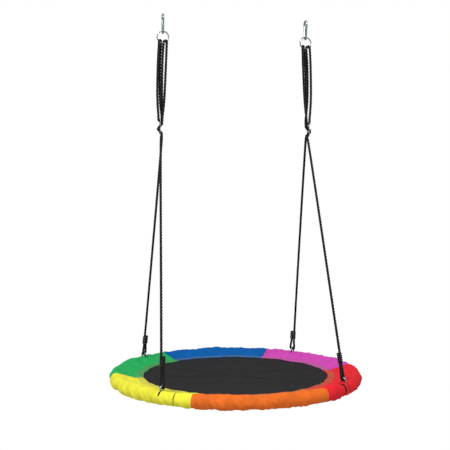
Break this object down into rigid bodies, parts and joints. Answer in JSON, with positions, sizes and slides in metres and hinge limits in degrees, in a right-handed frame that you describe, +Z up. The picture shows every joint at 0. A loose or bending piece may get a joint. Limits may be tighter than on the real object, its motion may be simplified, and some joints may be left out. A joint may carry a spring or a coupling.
{
  "type": "saucer swing",
  "caption": "Round platform swing with a colourful padded rim and a flat black seat, hung on adjustable ropes from rings and snap hooks.",
  "frame": {"origin": "middle of the hook line, the line through the two places where a hanger bears on the inside of each snap hook", "axes": "+Z up, +X to the right-hand hook, +Y towards the blue panel; the seat swings along Y"},
  "size_m": [1, 0.9998, 1.453],
  "materials": {
    "zinc_steel": "bright zinc plated",
    "small_steel": "bright",
    "tube_steel": "galvanised",
    "rope": "twisted polyethylene",
    "clamp_plastic": "moulded, satin",
    "foam": "closed-cell foam",
    "black_fabric": "coated woven fabric",
    "magenta_fabric": "woven polyester, padded",
    "blue_fabric": "woven polyester, padded",
    "green_fabric": "woven polyester, padded",
    "yellow_fabric": "woven polyester, padded",
    "orange_fabric": "woven polyester, padded",
    "red_fabric": "woven polyester, padded"
  },
  "bodies": {
    "hooks": {"snap_hook_left": "zinc_steel", "snap_hook_right": "zinc_steel"},
    "rings": {"o_ring_left": "zinc_steel", "o_ring_right": "zinc_steel"},
    "gate_left": {"gate_left": "zinc_steel", "gate_pin_left": "small_steel", "gate_plunger_left": "small_steel", "gate_spring_left": "small_steel"},
    "hanger_left": {"rope_left": "rope", "adjuster_plate_left": "zinc_steel", "rope_clamp_left_front": "clamp_plastic", "rope_clamp_left_back": "clamp_plastic"},
    "gate_right": {"gate_right": "zinc_steel", "gate_pin_right": "small_steel", "gate_plunger_right": "small_steel", "gate_spring_right": "small_steel"},
    "hanger_right": {"rope_right": "rope", "adjuster_plate_right": "zinc_steel", "rope_clamp_right_front": "clamp_plastic", "rope_clamp_right_back": "clamp_plastic"},
    "seat": {"eye_left_front": "zinc_steel", "eye_left_back": "zinc_steel", "eye_right_front": "zinc_steel", "eye_right_back": "zinc_steel", "frame_tube_back": "tube_steel", "foam_sleeve_back": "foam", "frame_tube_left": "tube_steel", "foam_sleeve_left": "foam", "frame_tube_front": "tube_steel", "foam_sleeve_front": "foam", "frame_tube_right": "tube_steel", "foam_sleeve_right": "foam", "cover_magenta": "magenta_fabric", "cover_blue": "blue_fabric", "cover_green": "green_fabric", "cover_yellow": "yellow_fabric", "cover_orange": "orange_fabric", "cover_red": "red_fabric", "mat": "black_fabric", "joint_screws": "small_steel"}
  },
  "joints": [
    {"name": "gate_left_hinge", "type": "hinge", "parent": "hooks", "child": "gate_left", "pos_m": [-0.29, -0.00964, -0.0554], "axis": [-1, 0, 0], "range_deg": [0, 25], "stiffness_Nm_per_rad": 0.1, "springref_deg": -28.65},
    {"name": "gate_right_hinge", "type": "hinge", "parent": "hooks", "child": "gate_right", "pos_m": [0.29, -0.00964, -0.0554], "axis": [-1, 0, 0], "range_deg": [0, 25], "stiffness_Nm_per_rad": 0.1, "springref_deg": -28.65},
    {"name": "swing", "type": "hinge", "parent": "hooks", "child": "rings", "pos_m": [0, 0, -0.0612], "axis": [1, 0, 0], "range_deg": [-45, 45]},
    {"name": "rope_sway_left", "type": "hinge", "parent": "rings", "child": "hanger_left", "pos_m": [-0.29, 0, -0.0837], "axis": [0, 1, 0], "range_deg": [-8, 8]},
    {"name": "rope_sway_right", "type": "hinge", "parent": "rings", "child": "hanger_right", "pos_m": [0.29, 0, -0.0837], "axis": [0, 1, 0], "range_deg": [-8, 8]},
    {"name": "seat_level", "type": "hinge", "parent": "hanger_left", "child": "seat", "pos_m": [-0.3323, 0, -1.3785], "axis": [0, 1, 0], "range_deg": [-7, 7]}
  ],
  "couplings": [
    {"joint": "rope_sway_right", "follows": "rope_sway_left", "ratio": 1},
    {"joint": "seat_level", "follows": "rope_sway_left", "ratio": -0.873}
  ]
}
